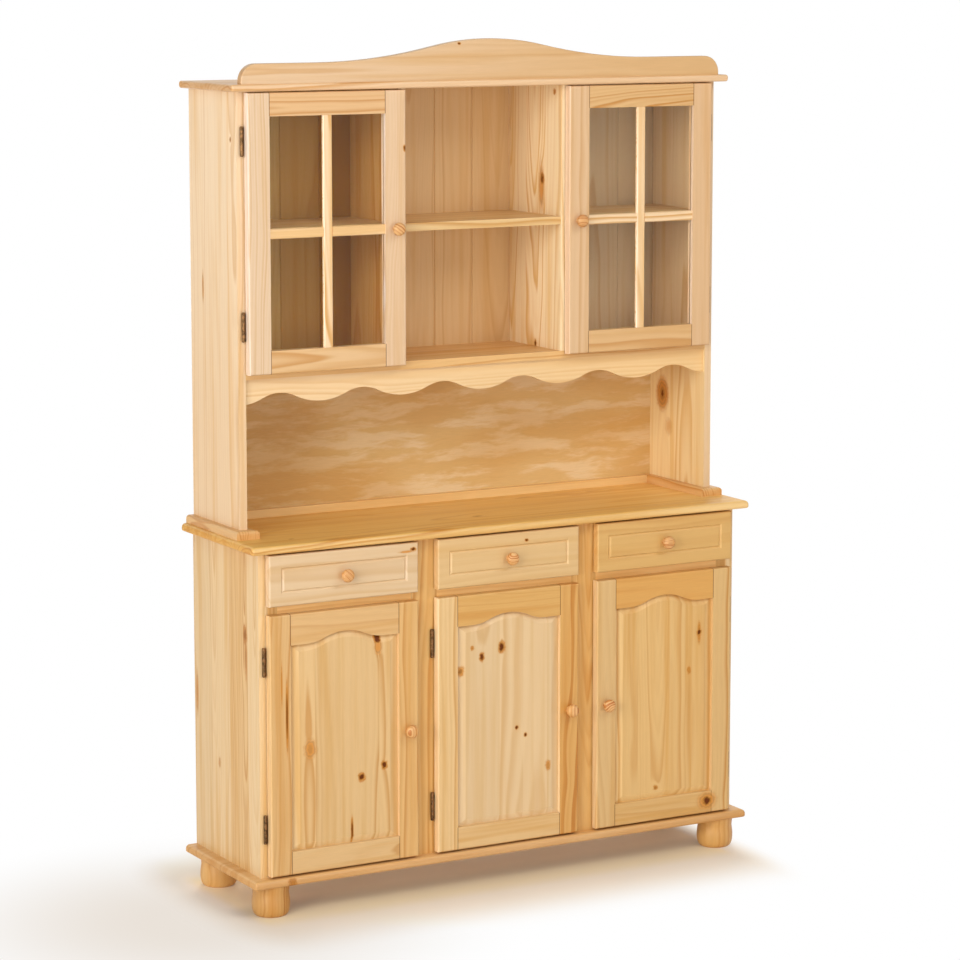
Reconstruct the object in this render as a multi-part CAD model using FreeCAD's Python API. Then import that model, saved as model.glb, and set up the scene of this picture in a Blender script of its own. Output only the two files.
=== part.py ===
import FreeCAD, Part
import os
from math import atan2, copysign, cos, hypot, pi, sin, tan

Vector = FreeCAD.Vector

# A two-piece pine dresser: a base with three drawers over three panelled doors,
# and a hutch with two glazed doors beside an open bay, over an open plate space.
# X runs left to right, -Y is the front and +Z is up. The origin is on the floor,
# in the middle of the whole footprint. Every length is in millimetres.

# Widths and depths of the two units
board_width = 1300.0
case_depth = 341.0
hutch_depth = 246.0
open_bay_width = 426.0
case_side_overhang = 27.5
case_front_overhang = 31.0
hutch_inset = 30.0
cornice_side_overhang = 23.0
cornice_front_overhang = 30.0

# Board stock
panel_thickness = 18.0
cornice_thickness = 16.0
back_thickness = 6.0
touch_tolerance = 0.001

# Heights, from the floor up
foot_height = 70.0
door_clearance = 4.5
door_height = 590.0
rail_show = 19.0
drawer_height = 115.0
shoe_height = 18.5
plate_space_height = 352.0
upper_bay_height = 614.5

# Moulded edges of the worktop, the bottom board and the cornice
top_round = 9.0
under_round = 5.0
corner_round = 6.0
cornice_round = 6.0

# Front frame of the base
door_count = 3
stile_show_width = 50.5
end_show_width = 17.0
lay_on = 8.0
frame_thickness = 20.0
hinge_stile_width = 28.0

# Lay-on doors and drawer fronts
door_thickness = 20.0
door_stile_width = 50.0
door_rail_height = 53.0
outer_round = 4.0

# Arched top rail and raised panel
arch_rise = 21.0
crown_rail_height = 49.0
arch_shoulder = 40.0
arch_turn_share = 0.45
panel_clearance = 1.0
tongue_depth = 8.0
tongue_thickness = 6.0
field_setback = 3.0
bevel_drop = 6.0
bevel_side_width = 22.0
bevel_end_width = 16.0

# Glazed doors
glass_door_lay_on = 6.5
glass_door_clearance = 2.5
glass_stile_width = 52.0
muntin_width = 22.0
muntin_setback = 1.5
muntin_chamfer = 2.0
glass_setback = 9.0
glass_thickness = 4.0
rebate_width = 8.0
glass_clearance = 0.5

# Routed border of the drawer fronts
groove_inset = 28.0
groove_width = 8.0
groove_depth = 3.0

# Turned knobs
knob_projection = 26.0
knob_radius = 15.0
knob_stem_radius = 8.0
knob_outline_shares = ((0.62, 0.26), (0.94, 0.48), (1.0, 0.62), (0.9, 0.8), (0.55, 0.96))

# Bun feet
foot_radius = 43.0
foot_side_inset = 59.0
foot_front_inset = 46.0
foot_back_inset = 52.0
foot_outline_shares = (
    (0.8, 0.0), (0.89, 0.05), (0.96, 0.15), (1.0, 0.36), (0.975, 0.57), (0.945, 0.74), (0.975, 0.9),
    (0.985, 1.0),
)

# Butt hinges
hinge_height = 62.0
hinge_inset = 106.0
hinge_offset = 6.5
barrel_radius = 4.0
barrel_clearance = 0.3
pin_radius = 1.6
pin_fit = 0.05
pin_head_radius = 3.4
pin_head_height = 2.0
pin_head_round = 1.6
leaf_thickness = 1.2
leaf_clearance = 0.4
leaf_width = 22.0

# Drawer boxes and what they run on
drawer_board = 12.0
drawer_box_height = 86.0
drawer_rear_clearance = 48.0
drawer_bottom_thickness = 4.0
drawer_side_clearance = 2.0
drawer_running_gap = 0.3
runner_thickness = 16.0
guide_height = 14.0

# Shoes and rail under the hutch
shoe_width = 56.0
shoe_front_reach = 24.0
shoe_round = 8.0
plate_rail_depth = 24.0

# Scalloped valance under the hutch floor
valance_height = 58.0
valance_setback = 8.0
scallop_count = 6
scallop_rise = 24.0
scallop_turn_share = 0.62

# Crest standing on the cornice
crest_inset = 25.0
crest_setback = 6.0
crest_shoulder_height = 44.5
crest_rise = 47.5
crest_end_round = 38.0
crest_sweep = 430.0
crest_turn_share = 0.674
crest_edge_round = 3.0

# Vertical boards behind the upper bays
back_board_count = 12
back_board_thickness = 10.0
back_board_chamfer = 2.0

# Shelves
base_shelf_setback = 30.0
base_shelf_share = 0.5

# Places worked out from the sizes above
door_gap = 2 * leaf_thickness + leaf_clearance
overall_depth = case_depth + door_gap + door_thickness + knob_projection
back_y = overall_depth / 2
case_front_y = back_y - case_depth
board_front_y = case_front_y - case_front_overhang
hutch_front_y = back_y - hutch_depth
cornice_front_y = hutch_front_y - cornice_front_overhang
board_half = board_width / 2
case_half = board_half - case_side_overhang
case_inner_half = case_half - panel_thickness
hutch_half = board_half - hutch_inset
hutch_inner_half = hutch_half - panel_thickness
cornice_half = hutch_half + cornice_side_overhang
crest_half = cornice_half - crest_inset

board_top_z = foot_height + panel_thickness
door_low_z = board_top_z + door_clearance
door_high_z = door_low_z + door_height
drawer_low_z = door_high_z + rail_show
drawer_high_z = drawer_low_z + drawer_height
worktop_low_z = drawer_high_z + door_clearance
worktop_top_z = worktop_low_z + panel_thickness
rail_low_z = door_high_z - lay_on
rail_high_z = drawer_low_z + lay_on
shoe_top_z = worktop_top_z + shoe_height
hutch_floor_z = worktop_top_z + plate_space_height
hutch_floor_top_z = hutch_floor_z + panel_thickness
cornice_low_z = hutch_floor_top_z + upper_bay_height
cornice_top_z = cornice_low_z + cornice_thickness
glass_door_low_z = hutch_floor_top_z - glass_door_lay_on
glass_door_high_z = cornice_low_z - glass_door_clearance
glass_door_height = glass_door_high_z - glass_door_low_z
glass_door_middle_z = (glass_door_low_z + glass_door_high_z) / 2

door_width = (2 * (case_half - end_show_width) - (door_count - 1) * stile_show_width) / door_count
bay_pitch = door_width + stile_show_width
partition_x = bay_pitch / 2
middle_stile_half = stile_show_width / 2 + lay_on
hinge_stile_x = case_inner_half - hinge_stile_width
glass_door_outer_x = hutch_inner_half
glass_door_inner_x = open_bay_width / 2
glass_door_width = glass_door_outer_x - glass_door_inner_x
hutch_partition_inner_x = glass_door_inner_x - panel_thickness + lay_on


def box(x_low, x_high, y_low, y_high, z_low, z_high):
    corner = Vector(x_low, y_low, z_low)
    return Part.makeBox(x_high - x_low, y_high - y_low, z_high - z_low, corner)


def mirrored(shape):
    return shape.mirror(Vector(), Vector(1, 0, 0))


def save(name, *solids):
    shape = solids[0] if len(solids) == 1 else Part.makeCompound(list(solids))
    shape.exportStep("parts/" + name + ".step")


def lies_at(edge, axis, place):
    """True where both ends of an edge have the same given coordinate."""
    return all(abs(getattr(end.Point, axis) - place) < touch_tolerance for end in edge.Vertexes)


def rounded(shape, radius, edges):
    return shape.makeFillet(radius, edges) if edges else shape


def line(start, end, y):
    return Part.LineSegment(Vector(start[0], y, start[1]), Vector(end[0], y, end[1])).toShape()


def arc(start, middle, end, y):
    points = [Vector(point[0], y, point[1]) for point in (start, middle, end)]
    return Part.Arc(*points).toShape()


def ogee(start, end, turn_share, y):
    """Two equal-angle arcs, level at both ends, that meet at a share of the way."""
    run = end[0] - start[0]
    rise = end[1] - start[1]
    slope = atan2(rise, abs(run))
    side = copysign(1, run)
    turn = (start[0] + turn_share * run, start[1] + turn_share * rise)
    edges = []
    for first, last, bend in ((start, turn, 1), (turn, end, -1)):
        chord = hypot(last[0] - first[0], last[1] - first[1])
        sag = bend * chord / 2 * tan(slope / 2)
        middle = (
            (first[0] + last[0]) / 2 + sag * sin(slope) * side,
            (first[1] + last[1]) / 2 - sag * cos(slope),
        )
        edges.append(arc(first, middle, last, y))
    return edges


def prism(edges, y_low, y_high):
    """A solid from a closed outline drawn in the plane y_low."""
    return Part.Face(Part.Wire(edges)).extrude(Vector(0, y_high - y_low, 0))


def moulded_board(half_width, front_y, z_low, thickness, upper_round, lower_round):
    """A board with rounded front and ends, and a square back edge."""
    board = box(-half_width, half_width, front_y, back_y, z_low, z_low + thickness)
    corners = [edge for edge in board.Edges if lies_at(edge, "y", front_y) and not level(edge)]
    board = rounded(board, corner_round, corners)
    for z, radius in ((z_low + thickness, upper_round), (z_low, lower_round)):
        rim = [edge for edge in board.Edges if lies_at(edge, "z", z) and not lies_at(edge, "y", back_y)]
        board = rounded(board, radius, rim)
    return board


def level(edge):
    ends = [end.Point.z for end in edge.Vertexes]
    return max(ends) - min(ends) < touch_tolerance


def turned(outline_shares, radius, length, foot_share):
    """A solid turned about Z through points given as shares of radius and length."""
    points = [Vector(share * radius, 0, height * length) for share, height in outline_shares]
    curve = Part.BSplineCurve()
    curve.interpolate(points)
    start = Vector(0, 0, points[0].z)
    end = Vector(0, 0, points[-1].z if foot_share else length)
    edges = [Part.LineSegment(start, points[0]).toShape(), curve.toShape()]
    edges.append(Part.LineSegment(points[-1], end).toShape())
    edges.append(Part.LineSegment(end, start).toShape())
    return Part.Face(Part.Wire(edges)).revolve(Vector(), Vector(0, 0, 1), 360)


# The base unit

def bun_foot(x, y):
    foot = turned(foot_outline_shares, foot_radius, foot_height, True)
    foot.translate(Vector(x, y, 0))
    return foot


def feet():
    foot_x = board_half - foot_side_inset
    rows = (("front_feet", board_front_y + foot_front_inset), ("back_feet", back_y - foot_back_inset))
    for name, y in rows:
        save(name, bun_foot(-foot_x, y), bun_foot(foot_x, y))


def base_boards():
    bottom = moulded_board(board_half, board_front_y, foot_height, panel_thickness, top_round, under_round)
    save("bottom_board", bottom)
    worktop = moulded_board(board_half, board_front_y, worktop_low_z, panel_thickness, top_round, under_round)
    save("worktop", worktop)


def base_case():
    side = box(-case_half, -case_inner_half, case_front_y, back_y, board_top_z, worktop_low_z)
    save("base_side_left", side)
    save("base_side_right", mirrored(side))
    low_x = -partition_x - panel_thickness / 2
    partition = box(low_x, low_x + panel_thickness, case_front_y + frame_thickness,
                    back_y - back_thickness, board_top_z, worktop_low_z)
    save("base_partition_left", partition)
    save("base_partition_right", mirrored(partition))
    back = box(-case_inner_half, case_inner_half, back_y - back_thickness, back_y,
               board_top_z, worktop_low_z)
    save("base_back", back)


def bays():
    """Clear width between the front stiles, and between the panels, of each bay."""
    edge = partition_x + middle_stile_half
    face = partition_x + panel_thickness / 2
    inner_face = partition_x - panel_thickness / 2
    inner_edge = partition_x - middle_stile_half
    return {
        "left": (-hinge_stile_x, -edge, -case_inner_half, -face),
        "middle": (-inner_edge, inner_edge, -inner_face, inner_face),
        "right": (edge, hinge_stile_x, face, case_inner_half),
    }


def front_frame():
    frame_back_y = case_front_y + frame_thickness
    hinge_stile = box(-case_inner_half, -hinge_stile_x, case_front_y, frame_back_y,
                      board_top_z, worktop_low_z)
    middle_stile = box(-partition_x - middle_stile_half, -partition_x + middle_stile_half,
                       case_front_y, frame_back_y, board_top_z, worktop_low_z)
    save("front_stiles", hinge_stile, middle_stile, mirrored(middle_stile), mirrored(hinge_stile))
    rails = []
    for low_x, high_x, low_face, high_face in bays().values():
        rails.append(box(low_x, high_x, case_front_y, frame_back_y, rail_low_z, rail_high_z))
    save("drawer_rails", *rails)


def base_shelves():
    shelf_z = board_top_z + base_shelf_share * (rail_low_z - board_top_z) - panel_thickness / 2
    shelves = []
    for low_x, high_x, low_face, high_face in bays().values():
        shelves.append(box(low_face, high_face, case_front_y + base_shelf_setback,
                           back_y - back_thickness, shelf_z, shelf_z + panel_thickness))
    save("base_shelves", *shelves)


def drawer_runners():
    """A flat runner under each drawer side, and a guide on it beside the drawer."""
    front_y = case_front_y + frame_thickness
    rear_y = back_y - back_thickness
    top_z = rail_high_z
    strips = []
    for low_x, high_x, low_face, high_face in bays().values():
        reach = drawer_side_clearance + drawer_board
        for face, edge, side in ((low_face, low_x, 1), (high_face, high_x, -1)):
            runner_end = edge + side * reach
            x_pair = sorted((face, runner_end))
            strips.append(box(*x_pair, front_y, rear_y, top_z - runner_thickness, top_z))
            guide_pair = sorted((face, edge + side * drawer_side_clearance / 2))
            strips.append(box(*guide_pair, front_y, rear_y, top_z, top_z + guide_height))
    save("drawer_runners", *strips)


# Doors of the base

def door_opening(x_low, x_high, side_grow, end_grow, y):
    """Outline of the arched door opening, grown outwards at its sides and ends."""
    low_z = door_low_z + door_rail_height - end_grow
    crown_z = door_high_z - crown_rail_height + end_grow
    shoulder_z = crown_z - arch_rise
    left = x_low + door_stile_width - side_grow
    right = x_high - door_stile_width + side_grow
    middle = (x_low + x_high) / 2
    left_turn = x_low + door_stile_width + arch_shoulder
    right_turn = x_high - door_stile_width - arch_shoulder
    crown = (middle, crown_z)
    edges = [line((left, low_z), (right, low_z), y), line((right, low_z), (right, shoulder_z), y)]
    edges.append(line((right, shoulder_z), (right_turn, shoulder_z), y))
    edges += ogee((right_turn, shoulder_z), crown, arch_turn_share, y)
    edges += ogee(crown, (left_turn, shoulder_z), 1 - arch_turn_share, y)
    edges.append(line((left_turn, shoulder_z), (left, shoulder_z), y))
    edges.append(line((left, shoulder_z), (left, low_z), y))
    return edges


def eased(piece, front_y, x_low, x_high, z_low, z_high):
    """Round the front edges of a door piece that lie on the door's outer edge."""
    outer = []
    for edge in piece.Edges:
        on_edge = lies_at(edge, "x", x_low) or lies_at(edge, "x", x_high)
        on_end = lies_at(edge, "z", z_low) or lies_at(edge, "z", z_high)
        if lies_at(edge, "y", front_y) and (on_edge or on_end):
            outer.append(edge)
    return rounded(piece, outer_round, outer)


def frame_pieces(x_low, x_high, z_low, z_high, back, stile, rail_low, rail_high):
    """Two stiles at full height and two rails between them."""
    front = back - door_thickness
    inner_low = x_low + stile
    inner_high = x_high - stile
    pieces = [box(x_low, inner_low, front, back, z_low, z_high)]
    pieces.append(box(inner_high, x_high, front, back, z_low, z_high))
    pieces.append(box(inner_low, inner_high, front, back, z_low, z_low + rail_low))
    pieces.append(box(inner_low, inner_high, front, back, z_high - rail_high, z_high))
    return pieces


def base_door(name, x_low):
    x_high = x_low + door_width
    back = case_front_y - door_gap
    front = back - door_thickness
    field_y = front + field_setback
    tongue_y = field_y + bevel_drop
    rail_high = crown_rail_height + arch_rise
    pieces = frame_pieces(x_low, x_high, door_low_z, door_high_z, back,
                          door_stile_width, door_rail_height, rail_high)
    opening = prism(door_opening(x_low, x_high, 0, 0, front), front, back)
    groove_reach = tongue_depth + panel_clearance
    groove_edges = door_opening(x_low, x_high, groove_reach, groove_reach, tongue_y)
    groove = prism(groove_edges, tongue_y, tongue_y + tongue_thickness)
    eased_pieces = []
    for piece in pieces:
        piece = piece.cut(opening).cut(groove)
        eased_pieces.append(eased(piece, front, x_low, x_high, door_low_z, door_high_z))
    save(name + "_frame", *eased_pieces)
    tongue = prism(door_opening(x_low, x_high, tongue_depth, tongue_depth, tongue_y), tongue_y,
                   tongue_y + tongue_thickness)
    bevel_foot = Part.Wire(door_opening(x_low, x_high, -panel_clearance, -panel_clearance, tongue_y))
    bevel_top = Part.Wire(door_opening(x_low, x_high, -bevel_side_width, -bevel_end_width, field_y))
    bevel = Part.makeLoft([bevel_foot, bevel_top], True, True)
    save(name + "_panel", tongue.fuse(bevel).removeSplitter())


def base_doors():
    places = base_door_places()
    for name, (x_low, hinge_side) in places.items():
        base_door("door_" + name, x_low)
        knob_x = x_low + door_stile_width / 2
        if hinge_side < 0:
            knob_x = x_low + door_width - door_stile_width / 2
        front = case_front_y - door_gap - door_thickness
        save("door_" + name + "_knob", knob(knob_x, front, door_low_z + door_height / 2))


def base_door_places():
    """Left edge of each base door, and the side its hinges are on."""
    middle = -door_width / 2
    return {"left": (middle - bay_pitch, -1), "middle": (middle, -1), "right": (middle + bay_pitch, 1)}


# Knobs and hinges

def knob(x, y, z):
    """A turned knob that stands on a front, pointing towards -Y."""
    shares = [(knob_stem_radius / knob_radius, 0.0)] + list(knob_outline_shares)
    shape = turned(shares, knob_radius, knob_projection, False)
    shape.rotate(Vector(), Vector(1, 0, 0), 90)
    shape.translate(Vector(x, y, z))
    return shape


def cylinder(radius, height, x, y, z):
    return Part.makeCylinder(radius, height, Vector(x, y, z))


def hinge(axis_x, axis_y, frame_y, low_z, side):
    """Fixed leaf, moving leaf and pin of one butt hinge. side points at the door."""
    knuckle = hinge_height / 3
    bore = cylinder(pin_radius + pin_fit, hinge_height, axis_x, axis_y, low_z)
    plate_x = axis_x + side * (barrel_radius + 2 * barrel_clearance)
    far_x = axis_x + side * leaf_width
    fixed_y = (frame_y - leaf_thickness, frame_y)
    moving_y = (frame_y - door_gap, frame_y - door_gap + leaf_thickness)
    rows = (
        ("fixed", fixed_y, (low_z, low_z + 2 * knuckle + barrel_clearance)),
        ("moving", moving_y, (low_z + knuckle,)),
    )
    leaves = {}
    for name, y_pair, knuckle_lows in rows:
        leaf = box(*sorted((plate_x, far_x)), *y_pair, low_z, low_z + hinge_height)
        for knuckle_z in knuckle_lows:
            length = knuckle - barrel_clearance
            if name == "moving":
                knuckle_z = knuckle_z + barrel_clearance / 2
            barrel = cylinder(barrel_radius, length, axis_x, axis_y, knuckle_z)
            bridge = box(*sorted((axis_x, plate_x)), *y_pair, knuckle_z, knuckle_z + length)
            leaf = leaf.fuse([barrel, bridge])
        leaves[name] = leaf.removeSplitter().cut(bore)
    return leaves["fixed"], leaves["moving"], hinge_pin(axis_x, axis_y, low_z)


def hinge_pin(x, y, low_z):
    """A pin with a domed head above and below the knuckles."""
    pin = cylinder(pin_radius, hinge_height, x, y, low_z)
    for head_z, end_z in ((low_z - pin_head_height, low_z - pin_head_height),
                          (low_z + hinge_height, low_z + hinge_height + pin_head_height)):
        head = cylinder(pin_head_radius, pin_head_height, x, y, head_z)
        rim = [edge for edge in head.Edges if lies_at(edge, "z", end_z)]
        pin = pin.fuse(rounded(head, pin_head_round, rim))
    return pin


def door_hinges(edge_x, frame_y, low_z, height, side):
    """The two hinges of one door, whose hinge edge is at edge_x."""
    axis_x = edge_x - side * hinge_offset
    axis_y = frame_y - barrel_radius - barrel_clearance
    heights = (low_z + hinge_inset - hinge_height / 2, low_z + height - hinge_inset - hinge_height / 2)
    return [hinge(axis_x, axis_y, frame_y, z, side) for z in heights]


def hinges():
    fixed_leaves = []
    pins = []
    rows = []
    for name, (x_low, hinge_side) in base_door_places().items():
        edge_x = x_low if hinge_side < 0 else x_low + door_width
        rows.append(("door_" + name, edge_x, case_front_y, door_low_z, door_height, -hinge_side))
    for name, side in (("left", 1), ("right", -1)):
        edge_x = -side * glass_door_outer_x
        rows.append(("glass_door_" + name, edge_x, hutch_front_y, glass_door_low_z,
                     glass_door_height, side))
    for name, edge_x, frame_y, low_z, height, side in rows:
        sets = door_hinges(edge_x, frame_y, low_z, height, side)
        save(name + "_hinges", *[moving for fixed, moving, pin in sets])
        fixed_leaves += [fixed for fixed, moving, pin in sets]
        pins += [pin for fixed, moving, pin in sets]
    save("hinge_frame_leaves", *fixed_leaves)
    save("hinge_pins", *pins)


# Drawers

def v_border(x_low, x_high, z_low, z_high, front):
    """Routed V groove that runs round the drawer front, as the solid it removes."""
    def frustum(surface_inset, deep_inset):
        wires = []
        for inset, y in ((surface_inset, front), (deep_inset, front + groove_depth)):
            corners = [
                Vector(x_low + inset, y, z_low + inset), Vector(x_high - inset, y, z_low + inset),
                Vector(x_high - inset, y, z_high - inset), Vector(x_low + inset, y, z_high - inset),
            ]
            wires.append(Part.makePolygon(corners + corners[:1]))
        return Part.makeLoft(wires, True, True)

    deep = groove_inset + groove_width / 2
    return frustum(groove_inset, deep).cut(frustum(groove_inset + groove_width, deep))


def drawer(name, x_middle, bay):
    back = case_front_y - door_gap
    front = back - door_thickness
    x_low = x_middle - door_width / 2
    x_high = x_middle + door_width / 2
    face = box(x_low, x_high, front, back, drawer_low_z, drawer_high_z)
    face = eased(face, front, x_low, x_high, drawer_low_z, drawer_high_z)
    save(name + "_front", face.cut(v_border(x_low, x_high, drawer_low_z, drawer_high_z, front)))
    save(name + "_knob", knob(x_middle, front, (drawer_low_z + drawer_high_z) / 2))
    save(name + "_box", *drawer_box(bay, back))


def drawer_box(bay, back):
    """Two sides, an inner front and a back on a thin bottom."""
    left = bay[0] + drawer_side_clearance
    right = bay[1] - drawer_side_clearance
    inner_left = left + drawer_board
    inner_right = right - drawer_board
    rear = back_y - back_thickness - drawer_rear_clearance
    bottom_z = rail_high_z + drawer_running_gap
    low_z = bottom_z + drawer_bottom_thickness
    high_z = low_z + drawer_box_height
    return [
        box(left, inner_left, back, rear, low_z, high_z),
        box(inner_right, right, back, rear, low_z, high_z),
        box(inner_left, inner_right, back, back + drawer_board, low_z, high_z),
        box(inner_left, inner_right, rear - drawer_board, rear, low_z, high_z),
        box(left, right, back, rear, bottom_z, low_z),
    ]


def drawers():
    for name, step in (("left", -1), ("middle", 0), ("right", 1)):
        drawer("drawer_" + name, step * bay_pitch, bays()[name])


# The hutch

def hutch_shoes():
    outer_x = hutch_half + (shoe_width - panel_thickness) / 2
    front = hutch_front_y - shoe_front_reach
    shoe = box(-outer_x, -outer_x + shoe_width, front, back_y, worktop_top_z, shoe_top_z)
    rim = [edge for edge in shoe.Edges if lies_at(edge, "z", shoe_top_z) and not lies_at(edge, "y", back_y)]
    shoe = rounded(shoe, shoe_round, rim)
    save("hutch_shoes", shoe, mirrored(shoe))
    inner = outer_x - shoe_width
    rail = box(-inner, inner, back_y - plate_rail_depth, back_y, worktop_top_z, shoe_top_z)
    save("plate_rail", rail)


def hutch_case():
    side = box(-hutch_half, -hutch_inner_half, hutch_front_y, back_y, shoe_top_z, cornice_low_z)
    save("hutch_side_left", side)
    save("hutch_side_right", mirrored(side))
    floor = box(-hutch_inner_half, hutch_inner_half, hutch_front_y, back_y, hutch_floor_z,
                hutch_floor_top_z)
    save("hutch_floor", floor)
    rear = back_y - back_board_thickness
    partition = box(-hutch_partition_inner_x - panel_thickness, -hutch_partition_inner_x,
                    hutch_front_y, rear, hutch_floor_top_z, cornice_low_z)
    save("hutch_partition_left", partition)
    save("hutch_partition_right", mirrored(partition))
    stile = box(-hutch_inner_half, -hutch_inner_half + hinge_stile_width, hutch_front_y,
                hutch_front_y + frame_thickness, hutch_floor_top_z, cornice_low_z)
    save("hutch_hinge_stiles", stile, mirrored(stile))


def hutch_shelves():
    rear = back_y - back_board_thickness
    low_z = glass_door_middle_z - panel_thickness / 2
    high_z = low_z + panel_thickness
    outer = hutch_partition_inner_x + panel_thickness
    stile_back = hutch_front_y + frame_thickness
    glazed = box(-hutch_inner_half, -outer, stile_back, rear, low_z, high_z)
    middle = box(-hutch_partition_inner_x, hutch_partition_inner_x, hutch_front_y, rear, low_z, high_z)
    save("hutch_shelves", glazed, middle, mirrored(glazed))


def hutch_backs():
    """Vertical boards behind the upper bays, and one sheet behind the plate space."""
    pitch = 2 * hutch_inner_half / back_board_count
    front = back_y - back_board_thickness
    boards = []
    for number in range(back_board_count):
        low_x = -hutch_inner_half + number * pitch
        board = box(low_x, low_x + pitch, front, back_y, hutch_floor_top_z, cornice_low_z)
        edges = [edge for edge in board.Edges if lies_at(edge, "y", front) and not level(edge)]
        boards.append(board.makeChamfer(back_board_chamfer, edges))
    save("back_boards", *boards)
    sheet = box(-hutch_inner_half, hutch_inner_half, back_y - back_thickness, back_y,
                shoe_top_z, hutch_floor_z)
    save("plate_back", sheet)


def valance():
    """Board under the hutch floor with a scalloped lower edge, lobes at the centre and ends."""
    front = hutch_front_y + valance_setback
    low_z = hutch_floor_z - valance_height
    half_pitch = hutch_half / scallop_count
    reach = scallop_count * half_pitch
    heights = (low_z, low_z + scallop_rise)
    shares = (scallop_turn_share, 1 - scallop_turn_share)
    edges = []
    for step in range(2 * scallop_count):
        start = (-reach + step * half_pitch, heights[step % 2])
        end = (start[0] + half_pitch, heights[(step + 1) % 2])
        edges += ogee(start, end, shares[step % 2], front)
    edges.append(line((reach, low_z), (reach, hutch_floor_z), front))
    edges.append(line((reach, hutch_floor_z), (-reach, hutch_floor_z), front))
    edges.append(line((-reach, hutch_floor_z), (-reach, low_z), front))
    wave = prism(edges, front, front + panel_thickness)
    between = box(-hutch_inner_half, hutch_inner_half, front, front + panel_thickness, low_z,
                  hutch_floor_z)
    save("valance", wave.common(between))


def cornice():
    board = moulded_board(cornice_half, cornice_front_y, cornice_low_z, cornice_thickness,
                          cornice_round, cornice_round)
    save("cornice_board", board)


def crest():
    """Shaped board on the cornice: round ends, level shoulders and a central crown."""
    front = cornice_front_y + crest_setback
    low_z = cornice_top_z
    shoulder_z = low_z + crest_shoulder_height
    crown = (0, shoulder_z + crest_rise)
    half = crest_half
    flat = half - crest_end_round
    cut = crest_end_round * (1 - cos(pi / 4))
    end_low_z = shoulder_z - crest_end_round
    edges = [line((-half, low_z), (half, low_z), front), line((half, low_z), (half, end_low_z), front)]
    edges.append(arc((half, end_low_z), (half - cut, shoulder_z - cut), (flat, shoulder_z), front))
    edges.append(line((flat, shoulder_z), (crest_sweep, shoulder_z), front))
    edges += ogee((crest_sweep, shoulder_z), crown, crest_turn_share, front)
    edges += ogee(crown, (-crest_sweep, shoulder_z), 1 - crest_turn_share, front)
    edges.append(line((-crest_sweep, shoulder_z), (-flat, shoulder_z), front))
    edges.append(arc((-flat, shoulder_z), (cut - half, shoulder_z - cut), (-half, end_low_z), front))
    edges.append(line((-half, end_low_z), (-half, low_z), front))
    board = prism(edges, front, front + panel_thickness)
    top = [edge for edge in board.Edges if lies_at(edge, "y", front) and not lies_at(edge, "z", low_z)]
    save("crest_board", rounded(board, crest_edge_round, top))


# Glazed doors

def glass_door(name, x_low):
    x_high = x_low + glass_door_width
    z_low = glass_door_low_z
    z_high = z_low + glass_door_height
    back = hutch_front_y - door_gap
    front = back - door_thickness
    glass_y = front + glass_setback
    bead_y = glass_y + glass_thickness
    left = x_low + glass_stile_width
    right = x_high - glass_stile_width
    low = z_low + glass_stile_width
    high = z_high - glass_stile_width
    rebate = box(left - rebate_width, right + rebate_width, glass_y, back,
                 low - rebate_width, high + rebate_width)
    pieces = frame_pieces(x_low, x_high, z_low, z_high, back, glass_stile_width, glass_stile_width,
                          glass_stile_width)
    pieces = [eased(piece.cut(rebate), front, x_low, x_high, z_low, z_high) for piece in pieces]
    save(name + "_frame", *pieces, *glazing_beads(left, right, low, high, bead_y, back))
    edge = rebate_width - glass_clearance
    save(name + "_pane", box(left - edge, right + edge, glass_y, bead_y, low - edge, high + edge))
    save(name + "_muntins", *muntins(left, right, low, high, front + muntin_setback, glass_y))


def glazing_beads(left, right, low, high, bead_y, back):
    """Four strips that hold the glass in its rebate from behind."""
    wide = rebate_width
    return [
        box(left - wide, left, bead_y, back, low - wide, high + wide),
        box(right, right + wide, bead_y, back, low - wide, high + wide),
        box(left, right, bead_y, back, low - wide, low),
        box(left, right, bead_y, back, high, high + wide),
    ]


def muntins(left, right, low, high, front, back):
    """One upright glazing bar, and a cross bar on each side of it."""
    half = muntin_width / 2
    x = (left + right) / 2
    z = (low + high) / 2
    upright = box(x - half, x + half, front, back, low, high)
    crosses = [box(left, x - half, front, back, z - half, z + half)]
    crosses.append(box(x + half, right, front, back, z - half, z + half))
    upright_edges = [edge for edge in upright.Edges if lies_at(edge, "y", front) and not level(edge)]
    bars = [upright.makeChamfer(muntin_chamfer, upright_edges)]
    for cross in crosses:
        edges = [edge for edge in cross.Edges if lies_at(edge, "y", front) and level(edge)]
        bars.append(cross.makeChamfer(muntin_chamfer, edges))
    return bars


def glass_doors():
    front = hutch_front_y - door_gap - door_thickness
    knob_x = glass_door_inner_x + glass_stile_width / 2
    for name, x_low, x in (("left", -glass_door_outer_x, -knob_x), ("right", glass_door_inner_x, knob_x)):
        glass_door("glass_door_" + name, x_low)
        save("glass_door_" + name + "_knob", knob(x, front, glass_door_middle_z))


os.makedirs("parts", exist_ok=True)
feet()
base_boards()
base_case()
front_frame()
base_shelves()
drawer_runners()
base_doors()
drawers()
hutch_shoes()
hutch_case()
hutch_shelves()
hutch_backs()
valance()
cornice()
crest()
glass_doors()
hinges()
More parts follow.
